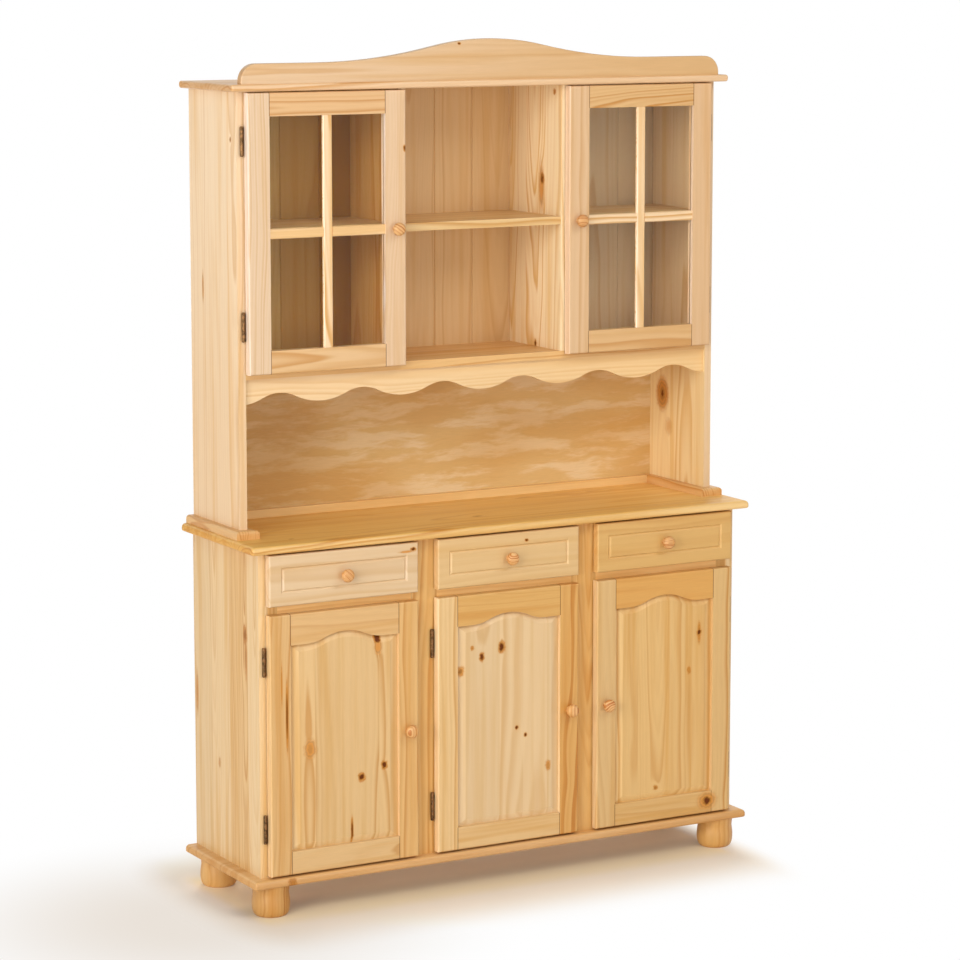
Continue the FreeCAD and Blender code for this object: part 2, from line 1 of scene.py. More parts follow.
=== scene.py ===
import bpy
import math
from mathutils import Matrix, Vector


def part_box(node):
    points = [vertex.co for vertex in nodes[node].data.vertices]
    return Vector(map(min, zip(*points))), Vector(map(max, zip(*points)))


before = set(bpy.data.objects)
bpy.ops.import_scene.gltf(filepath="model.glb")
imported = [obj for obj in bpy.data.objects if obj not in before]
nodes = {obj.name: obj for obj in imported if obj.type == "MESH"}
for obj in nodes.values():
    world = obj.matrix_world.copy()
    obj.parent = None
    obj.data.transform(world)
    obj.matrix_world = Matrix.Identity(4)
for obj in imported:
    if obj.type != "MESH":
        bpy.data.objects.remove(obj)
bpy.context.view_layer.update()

# a coordinate past every face of the part, for a limit that has no end
FAR = 9.0
PLAIN = (1.0, 1.0, 1.0)
WHITE = (1.0, 1.0, 1.0, 1.0)


# ---------------------------------------------------------------- node wiring

def linear(rgb):
    """An sRGB colour of 0 to 255 as the linear colour that a socket takes."""
    def one(v):
        v = v / 255
        return v / 12.92 if v <= 0.04045 else ((v + 0.055) / 1.055) ** 2.4
    return tuple(one(v) for v in rgb) + (1.0,)


def toned(rgb, factors):
    """The linear colour of an sRGB colour times three factors."""
    return linear([min(255, v * k) for v, k in zip(rgb, factors)])


class Net:
    """Short calls that add and wire the nodes of one tree."""

    def __init__(self, tree):
        self.tree = tree

    def add(self, kind, **settings):
        node = self.tree.nodes.new(kind)
        for name, value in settings.items():
            setattr(node, name, value)
        return node

    def put(self, socket, value):
        if isinstance(value, bpy.types.NodeSocket):
            self.tree.links.new(value, socket)
        else:
            socket.default_value = value

    def fill(self, node, values):
        """Sets or wires a node's inputs by name, and returns its first output."""
        for name, value in values.items():
            self.put(node.inputs[name], value)
        return node.outputs[0]

    def math(self, operation, *values, clamp=False):
        node = self.add("ShaderNodeMath", operation=operation, use_clamp=clamp)
        for socket, value in zip(node.inputs, values):
            self.put(socket, value)
        return node.outputs[0]

    def scaled(self, value, factor, offset):
        return self.math("ADD", self.math("MULTIPLY", value, factor), offset)

    def swing(self, value, width):
        """A value of 0 to 1 as one from minus half the width to plus half of it."""
        return self.math("MULTIPLY", self.math("SUBTRACT", value, 0.5), width)

    def vector(self, operation, a, b):
        node = self.add("ShaderNodeVectorMath", operation=operation)
        self.put(node.inputs[0], a)
        self.put(node.inputs[1], b)
        return node.outputs["Value" if operation == "DOT_PRODUCT" else "Vector"]

    def length(self, vector):
        node = self.add("ShaderNodeVectorMath", operation="LENGTH")
        self.put(node.inputs[0], vector)
        return node.outputs["Value"]

    def split(self, vector):
        node = self.add("ShaderNodeSeparateXYZ")
        self.put(node.inputs[0], vector)
        return list(node.outputs)

    def join(self, x, y, z):
        node = self.add("ShaderNodeCombineXYZ")
        for socket, value in zip(node.inputs, (x, y, z)):
            self.put(socket, value)
        return node.outputs[0]

    def grey(self, value):
        return self.join(value, value, value)

    def noise(self, vector, scale, detail, rough=0.5, stretch=(1, 1, 1)):
        return self.fill(self.add("ShaderNodeTexNoise"), {
            "Vector": self.vector("MULTIPLY", vector, stretch), "Scale": scale, "Detail": detail, "Roughness": rough})

    def dice(self, number):
        """Three fixed random numbers, 0 to 1, for a number."""
        node = self.add("ShaderNodeTexWhiteNoise", noise_dimensions="1D")
        self.put(node.inputs["W"], number)
        return self.split(node.outputs["Color"])

    def fade(self, value, low, high, out_low=0.0, out_high=1.0):
        """A soft step of the value: out_low up to low, and out_high from high on."""
        return self.fill(self.add("ShaderNodeMapRange", interpolation_type="SMOOTHSTEP", clamp=True), {
            "Value": value, "From Min": low, "From Max": high, "To Min": out_low, "To Max": out_high})

    def mix(self, factor, a, b, kind="RGBA", how="MIX"):
        node = self.add("ShaderNodeMix", data_type=kind)
        if kind == "RGBA":
            node.blend_type = how
        # the factor, the two inputs and the output that belong to each kind
        at = {"FLOAT": (0, 2, 3, 0), "VECTOR": (0, 4, 5, 1), "RGBA": (0, 6, 7, 2)}[kind]
        for k, value in zip(at, (factor, a, b)):
            self.put(node.inputs[k], value)
        return node.outputs[at[3]]

    def times(self, colour, factors):
        """A colour times another one, which is a socket or three factors."""
        if isinstance(factors, tuple):
            factors = factors[:3] + (1.0,)
        return self.mix(1.0, colour, factors, how="MULTIPLY")

    def partly(self, amount, colour, factors):
        """A colour times factors, by an amount of 0 to 1."""
        return self.mix(amount, colour, self.times(colour, factors))

    def group(self, tree, **values):
        node = self.add("ShaderNodeGroup", node_tree=tree)
        self.fill(node, values)
        return node.outputs

    def bump(self, strength, distance, height):
        return self.fill(self.add("ShaderNodeBump"), {"Strength": strength, "Distance": distance, "Height": height})

    def seen(self):
        """1 for a ray from the eye, or one that a shiny surface or glass sends on, and 0 for diffuse light."""
        rays = self.add("ShaderNodeLightPath").outputs
        return self.math("MAXIMUM", rays["Is Camera Ray"],
                         self.math("MAXIMUM", rays["Is Glossy Ray"], rays["Is Transmission Ray"]))

    def blend(self, factor, first, second):
        """A mix of two shaders."""
        node = self.add("ShaderNodeMixShader")
        for socket, value in zip(node.inputs, (factor, first, second)):
            self.put(socket, value)
        return node.outputs[0]

    def principled(self, values):
        return self.fill(self.add("ShaderNodeBsdfPrincipled"), values)

    def surface(self, shader, kind="ShaderNodeOutputMaterial"):
        self.put(self.add(kind).inputs["Surface"], shader)


def new_material(name):
    """An empty material, its Net and its texture coordinates."""
    mat = bpy.data.materials.new(name)
    mat.use_nodes = True
    mat.node_tree.nodes.clear()
    net = Net(mat.node_tree)
    return mat, net, net.add("ShaderNodeTexCoord").outputs


def new_group(name, inputs, outputs):
    """A node group with its sockets, its Net, its inputs and a call that sets its outputs."""
    tree = bpy.data.node_groups.new(name, "ShaderNodeTree")
    for label, kind in inputs:
        tree.interface.new_socket(label, in_out="INPUT", socket_type="NodeSocket" + kind)
    for label, kind in outputs:
        tree.interface.new_socket(label, in_out="OUTPUT", socket_type="NodeSocket" + kind)
    net = Net(tree)
    entry = net.add("NodeGroupInput")
    leave = net.add("NodeGroupOutput")

    def give(**values):
        for label, value in values.items():
            net.put(leave.inputs[label], value)
    return tree, net, entry.outputs, give


# ---------------------------------------------------------------- the wood itself

def make_growth():
    """Growth rings of a board in its own space: X along the grain, Y across it, Z into the board."""
    tree, n, given, give = new_group(
        "growth", (("Place", "Vector"), ("Board", "Float"), ("Bend", "Float"), ("Ring", "Float")),
        (("Late", "Float"), ("Fibre", "Float"), ("Streak", "Float")))
    place, board, bend, ring = (given[k] for k in ("Place", "Board", "Bend", "Ring"))
    r = n.dice(board)
    # each board gets its own spot in the noise
    away = n.join(*(n.math("MULTIPLY", number, reach) for number, reach in zip(r, (31.0, 17.0, 23.0))))
    moved = n.vector("ADD", place, away)
    x, y, z = n.split(place)
    # the pith lies 14 to 59 mm behind the middle of the board and up to 45 mm to one side of it, and drifts
    # by up to 6 cm a metre
    side = n.swing(r[0], 0.09)
    deep = n.scaled(r[1], 0.045, 0.014)
    drift = n.swing(r[2], 0.12)
    dy = n.math("SUBTRACT", y, side)
    dz = n.math("ADD", n.math("ADD", z, deep), n.math("MULTIPLY", x, drift))
    # the rings wander widely along the board, and finely across it
    wide = n.swing(n.noise(moved, 1.0, 2.0, 0.55, (1.7, 9, 9)), 0.042)
    small = n.swing(n.noise(moved, 1.0, 1.0, 0.5, (5, 60, 60)), 0.0032)
    radius = n.math("SQRT", n.math("ADD", n.math("MULTIPLY", dy, dy), n.math("MULTIPLY", dz, dz)))
    radius = n.math("ADD", n.math("ADD", radius, wide), n.math("ADD", small, bend))
    # a quick tree has wider rings than a slow one
    quick = n.scaled(r[2], 0.9, 0.6)
    turn = n.math("DIVIDE", radius, n.math("MULTIPLY", ring, quick))
    # each year's late wood darkens slowly and ends sharply, and some years' far more than others'
    part = n.math("FRACT", turn)
    year = n.dice(n.math("ADD", n.math("FLOOR", turn), n.math("MULTIPLY", board, 7.0)))
    late = n.math("MULTIPLY", n.fade(part, 0.15, 0.80), n.fade(part, 0.78, 1.0, 1.0, 0.0))
    late = n.math("MULTIPLY", late, n.math("ADD", n.math("POWER", year[0], 3.0), 0.11))
    fibre = n.noise(moved, 1.0, 3.0, 0.65, (26, 760, 760))
    streak = n.noise(moved, 1.0, 2.0, 0.6, (1.3, 34, 34))
    give(Late=late, Fibre=fibre, Streak=streak)
    return tree


def make_knot():
    """One knot: how deep its colour is, and how far it bends the rings round it.
    Place and Centre are in object metres, and Size is the knot's half size along each axis."""
    tree, n, given, give = new_group(
        "knot", (("Place", "Vector"), ("Centre", "Vector"), ("Size", "Vector"), ("Depth", "Float"),
                 ("Wobble", "Float"), ("Core", "Float"), ("Bend", "Float")),
        (("Core", "Float"), ("Bend", "Float")))
    offset = n.vector("DIVIDE", n.vector("SUBTRACT", given["Place"], given["Centre"]), given["Size"])
    away = n.math("ADD", n.length(offset), given["Wobble"])
    core = n.math("MULTIPLY", n.fade(away, 0.3, 1.8, 1.0, 0.0), given["Depth"])
    bend = n.math("DIVIDE", n.fade(away, 2.0, 6.5, 0.008, 0.0), n.math("ADD", 1.0, n.math("MULTIPLY", away, away)))
    give(Core=n.math("MAXIMUM", given["Core"], core), Bend=n.math("ADD", given["Bend"], bend))
    return tree


growth = make_growth()
knot = make_knot()

# object axes that run along the grain, across it and into the board
AXES = {"x": (0, 2, 1), "y": (1, 0, 2), "z": (2, 0, 1), "z_side": (2, 1, 0), "x_flat": (0, 1, 2)}


def within(n, co, limits):
    """1 inside the limits (axis, low, high) in object metres, and 0 outside."""
    inside = None
    for axis, low, high in limits:
        t = n.math("MULTIPLY", n.math("GREATER_THAN", co[axis], low), n.math("LESS_THAN", co[axis], high))
        inside = t if inside is None else n.math("MULTIPLY", inside, t)
    return inside


def board_space(n, co, turned_to, boards):
    """The grain space of a node made of boards (limits, grain, centre, number, tint): a place in it,
    the board's number, its tint, how bold its rings are, and how far the surface is end grain.
    A tint is red, green and blue factors, and a fourth for the rings where they are bold or faint."""
    place = None
    for limits, grain, centre, number, tint in boards:
        ring = tint[3] if len(tint) > 3 else 1.0
        axes = AXES[grain]
        here = n.join(*(n.math("SUBTRACT", co[a], centre[a]) for a in axes))
        end = n.math("ABSOLUTE", turned_to[axes[0]])
        if place is None:
            place, seed, tone, ends, bold = here, number, tint[:3] + (1.0,), end, ring
            continue
        inside = within(n, co, limits)
        place = n.mix(inside, place, here, "VECTOR")
        seed = n.mix(inside, seed, number, "FLOAT")
        if any(other[4] != tint for other in boards):
            tone = n.mix(inside, tone, tint[:3] + (1.0,))
            bold = n.mix(inside, bold, ring, "FLOAT")
        if any(AXES[other[1]][0] != axes[0] for other in boards):
            ends = n.mix(inside, ends, end, "FLOAT")
    return place, seed, tone, bold, n.fade(ends, 0.6, 0.9)


def worn_and_highlit_edge(n):
    """1 along the arrises of a piece, where the finish is rubbed and a highlight is painted, and 0 elsewhere."""
    soft = n.add("ShaderNodeBevel", samples=4)
    soft.inputs["Radius"].default_value = 0.0022
    true = n.add("ShaderNodeNewGeometry")
    return n.fade(n.vector("DOT_PRODUCT", soft.outputs[0], true.outputs["Normal"]), 0.90, 0.995, 1.0, 0.0)


def painted_falloff(n, co, colour, sweep):
    """The colour times a factor that changes slowly along one axis, a painted falloff of light and shade."""
    if not sweep:
        return colour
    axis, low, high, first, last = sweep
    return n.times(colour, n.mix(n.fade(co[axis], low, high), first + (1.0,), last + (1.0,)))


LACQUER_IOR = 1.45
KNOT_DEPTH = 0.03           # how far a knot reaches into the wood
KNOT_HEART = linear((198, 130, 42))
KNOT_DARK = linear((100, 48, 12))
JOINT_DARK = linear((92, 46, 14))


def wood(name, tone, boards, ring=0.0095, knots=(), lines=(), strength=1.0, late_tint=(0.90, 0.78, 0.55), raw=0.75,
         shades=(), facing=(), sweep=None):
    """Lacquered pine. tone is its sRGB colour, ring the width of a year and strength how bold the grain is;
    raw is how far end grain darkens; knots are (x, y, z, along, across, depth) in metres; lines are (axis, place,
    limits) of dark joint lines that show outside the limits; shades are (limits, factors) of faces with painted
    shade or painted light; facing is (axis, start, full, factors) of painted light and shade on faces turned down
    an axis, from how far they turn; sweep is (axis, low, high, factors at low, factors at high) of a painted
    falloff of light."""
    mat, n, spot = new_material(name)
    co = n.split(spot["Object"])
    turned_to = n.split(spot["Normal"])
    place, seed, tint, bold, ends = board_space(n, co, turned_to, boards)
    core, bend = 0.0, 0.0
    if knots:
        wobble = n.swing(n.noise(spot["Object"], 130.0, 1.0), 1.3)
    for x, y, z, along, across, depth in knots:
        point = (x, y, z)
        grain = next((b for b in reversed(boards) if all(lo < point[a] < hi for a, lo, hi in b[0])), boards[0])[1]
        size = [KNOT_DEPTH] * 3
        size[AXES[grain][0]] = along
        size[AXES[grain][1]] = across
        # a long knot has a smoother edge
        ragged = n.math("MULTIPLY", wobble, min(1.0, 0.008 / along))
        out = n.group(knot, Place=spot["Object"], Centre=point, Size=size, Depth=depth, Wobble=ragged,
                      Core=core, Bend=bend)
        core, bend = out["Core"], out["Bend"]
    out = n.group(growth, Place=place, Board=seed, Bend=bend, Ring=ring)
    late, fibre, streak = out["Late"], out["Fibre"], out["Streak"]

    # early wood, late wood, warmer streaks, pores and a tone of each board's own
    rings = n.math("MULTIPLY", late, n.math("MULTIPLY", bold, 0.9 * strength), clamp=True)
    colour = n.mix(rings, toned(tone, (1.02, 1.035, 1.07)), toned(tone, late_tint))
    colour = n.mix(n.fade(streak, 0.46, 0.72, 0.0, 0.85 * strength), colour, toned(tone, (0.965, 0.90, 0.75)))
    r = n.dice(n.math("ADD", seed, 3.7))
    shade = n.math("ADD", n.swing(fibre, 0.22 * strength), 1.0)
    colour = n.times(colour, n.grey(n.math("ADD", shade, n.swing(r[1], 0.055))))
    if any(board[4] != PLAIN for board in boards):
        colour = n.times(colour, tint)
    # a painted falloff of light along the piece
    colour = painted_falloff(n, co, colour, sweep)

    # where the surface shines less: knots, joints and faces darkened by painted shade
    dull_or_shaded = core
    # painted shade and painted light on chosen faces
    for limits, factors in shades:
        face = within(n, co, limits)
        colour = n.partly(face, colour, factors)
        if factors[0] < 0.8:
            dull_or_shaded = n.math("MAXIMUM", dull_or_shaded, face)
    for axis, at, limits in lines:
        near = n.math("ABSOLUTE", n.math("SUBTRACT", co[axis], at))
        mark = n.math("MULTIPLY", n.fade(near, 0.0004, 0.0013, 0.75, 0.0),
                      n.math("SUBTRACT", 1.0, within(n, co, limits)))
        colour = n.mix(mark, colour, JOINT_DARK)
        dull_or_shaded = n.math("MAXIMUM", dull_or_shaded, mark)
    if knots:
        # faint rings inside a sound knot
        circles = n.fade(n.math("SINE", n.math("MULTIPLY", core, 38.0)), -1.0, 1.0, 0.78, 1.08)
        colour = n.mix(n.fade(core, 0.0, 0.42, 0.0, 0.9), colour, n.times(KNOT_HEART, n.grey(circles)))
        colour = n.mix(n.fade(core, 0.42, 0.95), colour, KNOT_DARK)

    # end grain drinks more of the finish, so it is darker and duller, and open edges are a little paler, from wear
    # and from a painted highlight
    colour = n.partly(n.math("MULTIPLY", ends, raw), colour, (0.86, 0.74, 0.56))
    wear_and_highlight = n.math("MULTIPLY", worn_and_highlit_edge(n), n.fade(streak, 0.3, 0.6, 0.25, 0.6))
    colour = n.partly(wear_and_highlight, colour, (1.12, 1.13, 1.15))
    # painted light and shade on faces by the way they face
    for axis, start, full, factors in facing:
        colour = n.partly(n.fade(turned_to[axis], start, full), colour, factors)

    height = n.math("ADD", n.math("MULTIPLY", late, 0.6), n.math("MULTIPLY", fibre, 0.8))
    if knots:
        height = n.math("SUBTRACT", height, n.math("MULTIPLY", core, 0.5))
    rough = n.math("ADD", n.math("MULTIPLY", fibre, 0.16), n.math("MULTIPLY", late, -0.05))
    rough = n.math("ADD", rough, n.scaled(streak, 0.12, 0.30))
    rough = n.math("ADD", rough, n.math("MULTIPLY", n.math("MAXIMUM", ends, wear_and_highlight), 0.15))
    values = {"Base Color": colour, "Roughness": rough, "Normal": n.bump(0.2, 0.0006, height), "IOR": LACQUER_IOR,
              "Coat Weight": 0.10, "Coat Roughness": 0.22}
    if knots or lines or shades:
        values["Specular IOR Level"] = n.fade(dull_or_shaded, 0.3, 0.8, 0.5, 0.08)
    n.surface(n.principled(values))
    return mat


def veneer(name, tone, seed, sweep=None, contrast=1.0):
    """Peeled plywood: wide wandering figure, pale where the knife met a ring flat."""
    mat, n, spot = new_material(name)
    place = n.vector("ADD", spot["Object"], (seed, 0.3 * seed, 0.7 * seed))
    warp = n.noise(place, 1.0, 2.0, 0.6, (7.0, 1.0, 9.0))
    x, y, z = n.split(place)
    bent = n.join(x, y, n.math("ADD", z, n.math("MULTIPLY", warp, 0.03)))
    # ragged pale islands, longer than they are high, over a slow change of tone
    islands = n.fade(n.noise(bent, 1.0, 5.0, 0.64, (5.0, 1.0, 26.0)), 0.45, 0.60)
    cloud = n.fade(n.noise(bent, 1.0, 2.0, 0.5, (2.2, 1.0, 7.0)), 0.35, 0.65)
    rays = n.fade(n.noise(bent, 1.0, 3.0, 0.6, (11.0, 1.0, 120.0)), 0.56, 0.70)
    fibre = n.noise(place, 1.0, 3.0, 0.65, (40, 40, 700))
    pale = toned(tone, (1.055, 1.125, 1.34))
    deep = toned(tone, (0.955, 0.90, 0.80))
    colour = n.mix(cloud, linear(tone), deep)
    amount = n.math("MULTIPLY", islands, n.fade(cloud, 0.0, 1.0, 0.85 * contrast, 0.45 * contrast))
    colour = n.mix(amount, colour, pale)
    colour = n.mix(n.math("MULTIPLY", rays, 0.35), colour, deep)
    # a painted falloff of light along the board
    colour = painted_falloff(n, n.split(spot["Object"]), colour, sweep)
    colour = n.times(colour, n.grey(n.math("ADD", n.swing(fibre, 0.22), 1.0)))
    # arrises a little paler, from wear and from a painted highlight
    colour = n.partly(n.math("MULTIPLY", worn_and_highlit_edge(n), 0.3), colour, (1.2, 1.22, 1.26))
    n.surface(n.principled({"Base Color": colour, "Roughness": n.scaled(fibre, 0.2, 0.38),
                            "Normal": n.bump(0.15, 0.0005, fibre), "IOR": LACQUER_IOR}))
    return mat


# ---------------------------------------------------------------- the boards of a node

def dress(node, mat):
    """Gives a CAD node its material."""
    mesh = nodes[node].data
    mesh.materials.clear()
    mesh.materials.append(mat)


def rows(node, grain, seed, cuts=(), axis=0):
    """The boards of a node: one for the whole box, or one between each pair of cuts along an axis."""
    low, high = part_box(node)
    middle = [(a + b) / 2 for a, b in zip(low, high)]
    edges = [-FAR] + list(cuts) + [FAR]
    ends = [low[axis]] + list(cuts) + [high[axis]]
    made = []
    for k in range(len(edges) - 1):
        centre = list(middle)
        centre[axis] = (ends[k] + ends[k + 1]) / 2
        made.append((((axis, edges[k], edges[k + 1]),), grain, centre, float(seed + k), PLAIN))
    return made


def tinted(boards, tints):
    """The boards, some of them with a tint, by their place in the row."""
    return [board[:4] + (tints.get(k, PLAIN),) for k, board in enumerate(boards)]


def framed(node, stile, seed, tints):
    """The boards of a door frame with stiles of one width: the left and the right stile, and between them
    the top rail and the bottom rail, each reaching to the middle of the door."""
    low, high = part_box(node)
    y = (low[1] + high[1]) / 2
    z = (low[2] + high[2]) / 2
    left, right = low[0] + stile, high[0] - stile
    middle = (left + right) / 2
    # a rail's centre, from the end of the frame
    in_rail = 0.03
    return [
        (((0, -FAR, left),), "z", (low[0] + stile / 2, y, z), seed + 0.0, tints[0]),
        (((0, right, FAR),), "z", (high[0] - stile / 2, y, z), seed + 1.0, tints[1]),
        (((0, left, right), (2, z, FAR)), "x", (middle, y, high[2] - in_rail), seed + 2.0, tints[2]),
        (((0, left, right), (2, -FAR, z)), "x", (middle, y, low[2] + in_rail), seed + 3.0, tints[3]),
    ]


def joint_lines(node, stile, low_rail, high_rail):
    """The joints between stiles and rails, seen only beside the rails."""
    low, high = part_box(node)
    between = ((2, low[2] + low_rail, high[2] - high_rail),)
    return ((0, low[0] + stile, between), (0, high[0] - stile, between))


def on_face(axis, at, *marks):
    """Knots of a face across an axis: (its two other coordinates, along, across, depth) each."""
    return tuple(mark[:axis] + (at,) + mark[axis:] for mark in marks)


# ---------------------------------------------------------------- finishes, piece by piece

# sRGB colour of each piece, as written
TONES = {
    "base_side": (224, 190, 138), "hutch_side": (238, 206, 163), "base_partition": (222, 178, 122),
    "hutch_partition": (242, 217, 173), "worktop": (228, 179, 102), "bottom_board": (221, 175, 114),
    "hutch_floor": (218, 172, 110), "cornice_board": (220, 182, 138), "crest_board": (206, 169, 122),
    "valance": (226, 189, 136), "plate_rail": (224, 184, 120), "hutch_shelves": (213, 177, 122),
    "base_shelves": (222, 182, 128), "front_stiles": (218, 171, 101), "hutch_hinge_stiles": (230, 190, 138),
    "drawer_rails": (244, 198, 127), "drawer_runners": (218, 172, 114), "hutch_shoes": (222, 176, 114),
    "front_feet": (204, 155, 88), "back_feet": (216, 169, 104), "back_boards": (215, 177, 124),
    "plate_back": (217, 180, 118), "base_back": (208, 164, 110),
    "door_left_frame": (208, 166, 108), "door_left_panel": (212, 175, 120), "drawer_left_front": (214, 183, 141),
    "door_middle_frame": (214, 176, 120), "door_middle_panel": (215, 183, 136),
    "drawer_middle_front": (211, 174, 119), "door_right_frame": (213, 174, 116),
    "door_right_panel": (212, 171, 108), "drawer_right_front": (206, 162, 95),
    "drawer_box": (222, 184, 132), "knob": (222, 174, 114),
    "glass_door_left_frame": (214, 180, 141), "glass_door_right_frame": (210, 171, 126),
    "muntins": (231, 199, 156),
}

# the y of the base door panels' flat fields, and of the faces of the door frames and drawer fronts
PANEL_Y, FRAME_Y = -0.166, -0.1689

KNOTS = {
    "base_side_left": on_face(
        0, -0.6225, (-0.0765, 0.6264, 0.018, 0.0090, 0.70), (-0.080, 0.575, 0.045, 0.0035, 0.60),
        (0.181, 0.447, 0.045, 0.006, 0.42), (0.064, 0.307, 0.012, 0.005, 0.35)),
    "hutch_side_left": on_face(
        0, -0.62, (-0.0223, 1.7181, 0.005, 0.003, 0.7), (0.130, 1.383, 0.030, 0.004, 0.42)),
    "hutch_side_right": on_face(
        0, 0.602, (0.1334, 1.0622, 0.033, 0.022, 0.60), (0.1334, 1.0622, 0.012, 0.007, 0.85),
        (0.1050, 0.9850, 0.020, 0.015, 0.22)),
    "hutch_partition_right": on_face(
        0, 0.203, (0.035, 1.6035, 0.013, 0.008, 0.8), (0.038, 1.585, 0.050, 0.011, 0.38),
        (-0.020, 1.807, 0.007, 0.005, 0.6), (0.0636, 1.2142, 0.007, 0.004, 0.85)),
    "worktop": on_face(2, 0.839, (-0.5236, -0.1113, 0.006, 0.003, 0.5), (-0.0173, -0.0504, 0.010, 0.005, 0.45)),
    "bottom_board": on_face(1, -0.177, (-0.5585, 0.0789, 0.009, 0.004, 0.5)),
    "crest_board": on_face(1, -0.0751, (-0.0782, 1.9209, 0.004, 0.0025, 0.95)),
    "door_left_panel": on_face(
        1, PANEL_Y, (-0.338, 0.6065, 0.0100, 0.0078, 0.98), (-0.337, 0.588, 0.0184, 0.0092, 0.38),
        (-0.5073, 0.3725, 0.0196, 0.0135, 0.42), (-0.3797, 0.2935, 0.0084, 0.0072, 0.95),
        (-0.3224, 0.3152, 0.0084, 0.0065, 1.00), (-0.4044, 0.1737, 0.0260, 0.0029, 0.85)),
    "door_middle_panel": on_face(
        1, PANEL_Y, (-0.019, 0.5536, 0.0117, 0.0078, 0.95), (-0.0967, 0.5577, 0.0050, 0.0040, 0.60),
        (-0.0709, 0.5365, 0.0091, 0.0052, 0.90), (-0.125, 0.5061, 0.0100, 0.0080, 0.62),
        (0.0203, 0.3604, 0.0042, 0.0034, 0.95), (0.044, 0.3414, 0.0042, 0.0034, 1.00),
        (0.1048, 0.2619, 0.0100, 0.0060, 0.50)),
    "door_right_panel": on_face(
        1, PANEL_Y, (0.5186, 0.5321, 0.0220, 0.0040, 0.60), (0.5186, 0.5321, 0.0078, 0.0052, 0.95),
        (0.4908, 0.4448, 0.0080, 0.0050, 0.50), (0.4903, 0.3200, 0.1300, 0.0085, 0.14),
        (0.3997, 0.1716, 0.0050, 0.0060, 0.60)),
    "door_left_frame": on_face(
        1, FRAME_Y, (-0.5655, 0.455, 0.0650, 0.0029, 0.80), (-0.578, 0.525, 0.0400, 0.0018, 0.55)),
    # two that have no colour and only bend the rings
    "door_middle_frame": on_face(1, FRAME_Y, (0.160, 0.215, 0.050, 0.018, 0.0), (0.163, 0.460, 0.090, 0.014, 0.0)),
    "door_right_frame": on_face(
        1, FRAME_Y, (0.5428, 0.1222, 0.0120, 0.0105, 0.92), (0.5428, 0.1222, 0.0230, 0.0190, 0.42)),
    "drawer_left_front": on_face(
        1, FRAME_Y, (-0.2488, 0.8009, 0.006, 0.004, 0.9), (-0.265, 0.7965, 0.018, 0.0025, 0.4)),
    "drawer_middle_front": on_face(1, FRAME_Y, (0.0445, 0.796, 0.004, 0.003, 0.95)),
    "glass_door_left_frame": on_face(1, -0.0739, (-0.2165, 1.6904, 0.007, 0.004, 0.85)),
}

# painted falloff of light: the hutch sides darker low and paler high, the worktop paler toward its right end, the
# crest and the valance paler at the left than at the right
SIDE_LIGHT_FALLOFF = (2, 0.95, 1.7, (0.955, 0.92, 0.87), (1.02, 1.045, 1.09))
LIGHT_FALLOFFS = {
    "hutch_side_left": SIDE_LIGHT_FALLOFF, "hutch_side_right": SIDE_LIGHT_FALLOFF,
    "worktop": (0, 0.25, 0.62, (1.02, 1.02, 0.87), (1.14, 1.22, 1.25)),
    "crest_board": (0, -0.55, 0.55, (1.03, 1.08, 1.25), (0.97, 0.915, 0.80)),
    "valance": (0, -0.55, 0.55, (0.99, 1.03, 1.12), (1.01, 1.0, 0.95)),
}

# painted shade on the front edges of the hutch sides and on their inner faces above the hutch floor, and painted
# light on their inner faces below it
INSIDE, FLOOR_Z = (0, -0.6025, 0.6025), 1.21
SIDE_PAINTED_LIGHT_AND_SHADE = (
    (((1, -FAR, -0.0505),), (0.86, 0.84, 0.82)),
    ((INSIDE, (2, FLOOR_Z, FAR)), (0.86, 0.86, 0.81)),
    ((INSIDE, (2, -FAR, FLOOR_Z)), (1.01, 1.10, 1.0)),
)
# the twelve boards of the hutch back
BACK_LEFT, BACK_WIDTH, BACK_COUNT = -0.602, 1.204, 12
# limits of the painted shade: in the left bay, behind the glass, and on the face of the back boards
IN_LEFT_BAY = (0, -FAR, -0.2205)
BACK_FACE = (1, -FAR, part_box("back_boards")[0][1] + 0.005)
# painted shade on the faces behind the glass of the left bay, the left partition's darkest near the door frame;
# painted light on the back boards of the right bay; a painted highlight on the left face of the leftmost front stile
PAINTED_LIGHT_AND_SHADE = {
    "hutch_side_left": SIDE_PAINTED_LIGHT_AND_SHADE, "hutch_side_right": SIDE_PAINTED_LIGHT_AND_SHADE,
    "hutch_partition_left": (((IN_LEFT_BAY, (1, -FAR, 0.02)), (0.60, 0.36, 0.08)),
                             ((IN_LEFT_BAY, (1, 0.02, FAR)), (0.73, 0.53, 0.27))),
    "front_stiles": ((((0, -FAR, -0.6),), (1.04, 1.24, 1.95)),),
    "back_boards": [(((0, BACK_LEFT + 0.1 * k, BACK_LEFT + 0.1 * (k + 1)), BACK_FACE), factors)
                    for k, factors in enumerate((
                        (0.61, 0.60, 0.38), (0.74, 0.73, 0.52), (0.64, 0.55, 0.30), (0.53, 0.38, 0.12)))]
    + [(((0, 0.21, FAR), BACK_FACE), (0.83, 0.95, 1.25))],
}

